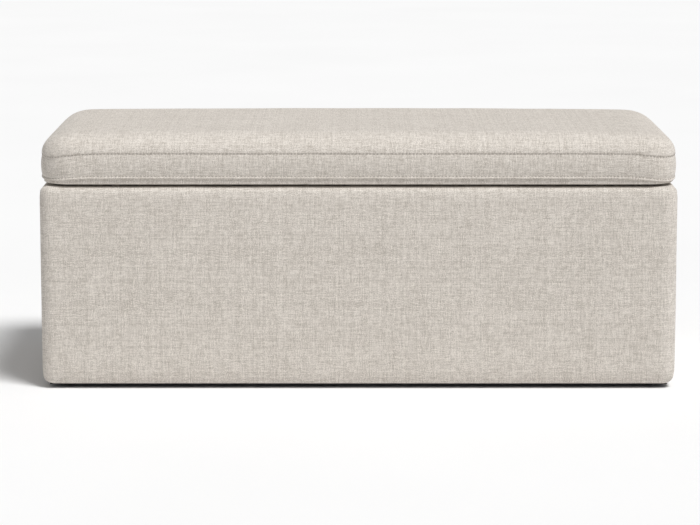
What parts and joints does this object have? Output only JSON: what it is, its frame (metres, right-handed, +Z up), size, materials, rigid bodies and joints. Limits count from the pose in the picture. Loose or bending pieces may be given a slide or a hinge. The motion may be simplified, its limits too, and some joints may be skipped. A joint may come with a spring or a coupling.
{
  "type": "storage ottoman",
  "caption": "Long rectangular upholstered storage ottoman with a padded hinged lid on two slotted friction stays over a lined box.",
  "frame": {"origin": "on the floor, under the middle of the whole outline, hinge barrels included", "axes": "+X to the right along the length as seen from the front, +Y towards the hinged back, +Z up"},
  "size_m": [1, 0.427, 0.403],
  "materials": {
    "cover_fabric": "matte",
    "lining_fabric": "matte",
    "dust_cloth": "matte",
    "foam": "matte",
    "wadding": "matte",
    "board": "matte",
    "softwood": "matte",
    "screw_steel": "satin",
    "staple_wire": "satin",
    "hinge_steel": "satin",
    "stay_steel": "satin",
    "washer_plastic": "satin",
    "glide_plastic": "satin",
    "bumper_felt": "matte"
  },
  "bodies": {
    "box": {"front_panel": "board", "back_panel": "board", "left_end_panel": "board", "right_end_panel": "board", "frame_screws": "screw_steel", "front_floor_batten": "softwood", "back_floor_batten": "softwood", "left_floor_batten": "softwood", "right_floor_batten": "softwood", "centre_floor_batten": "softwood", "batten_screws": "screw_steel", "corner_gussets": "softwood", "floor_board": "board", "front_foam": "foam", "left_end_foam": "foam", "right_end_foam": "foam", "back_wadding": "wadding", "outer_cover": "cover_fabric", "side_lining": "lining_fabric", "floor_lining": "lining_fabric", "dust_cover": "dust_cloth", "dust_cover_staples": "staple_wire", "glides": "glide_plastic", "rim_bumpers": "bumper_felt", "left_hinge_box_leaf": "hinge_steel", "centre_hinge_box_leaf": "hinge_steel", "right_hinge_box_leaf": "hinge_steel", "left_hinge_pin": "hinge_steel", "centre_hinge_pin": "hinge_steel", "right_hinge_pin": "hinge_steel", "box_hinge_screws": "screw_steel", "left_stay_wall_plate": "stay_steel", "right_stay_wall_plate": "stay_steel", "left_stay_stud": "stay_steel", "right_stay_stud": "stay_steel", "left_stay_washers": "washer_plastic", "right_stay_washers": "washer_plastic", "left_stay_nut": "stay_steel", "right_stay_nut": "stay_steel", "wall_plate_screws": "screw_steel"},
    "lid": {"lid_board": "board", "lid_foam": "foam", "lid_wadding": "wadding", "lid_top_panel": "cover_fabric", "lid_border": "cover_fabric", "lid_lower_band": "cover_fabric", "lid_lining": "lining_fabric", "lid_lining_staples": "staple_wire", "left_hinge_lid_leaf": "hinge_steel", "centre_hinge_lid_leaf": "hinge_steel", "right_hinge_lid_leaf": "hinge_steel", "lid_hinge_screws": "screw_steel", "left_stay_lid_bracket": "stay_steel", "right_stay_lid_bracket": "stay_steel", "left_stay_rivet": "stay_steel", "right_stay_rivet": "stay_steel", "lid_bracket_screws": "screw_steel"},
    "left_stay": {"left_stay_arm": "stay_steel"},
    "right_stay": {"right_stay_arm": "stay_steel"}
  },
  "joints": [
    {"name": "lid_hinge", "type": "hinge", "parent": "box", "child": "lid", "pos_m": [0, 0.2105, 0.323], "axis": [-1, 0, 0], "range_deg": [0, 95]},
    {"name": "left_stay_pivot", "type": "hinge", "parent": "lid", "child": "left_stay", "pos_m": [-0.466, 0.08637, 0.311], "axis": [-1, 0, 0], "range_deg": [-47.5, 0]},
    {"name": "right_stay_pivot", "type": "hinge", "parent": "lid", "child": "right_stay", "pos_m": [0.466, 0.08637, 0.311], "axis": [-1, 0, 0], "range_deg": [-47.5, 0]}
  ],
  "couplings": [
    {"joint": "left_stay_pivot", "follows": "lid_hinge", "ratio": -0.5},
    {"joint": "right_stay_pivot", "follows": "lid_hinge", "ratio": -0.5}
  ]
}
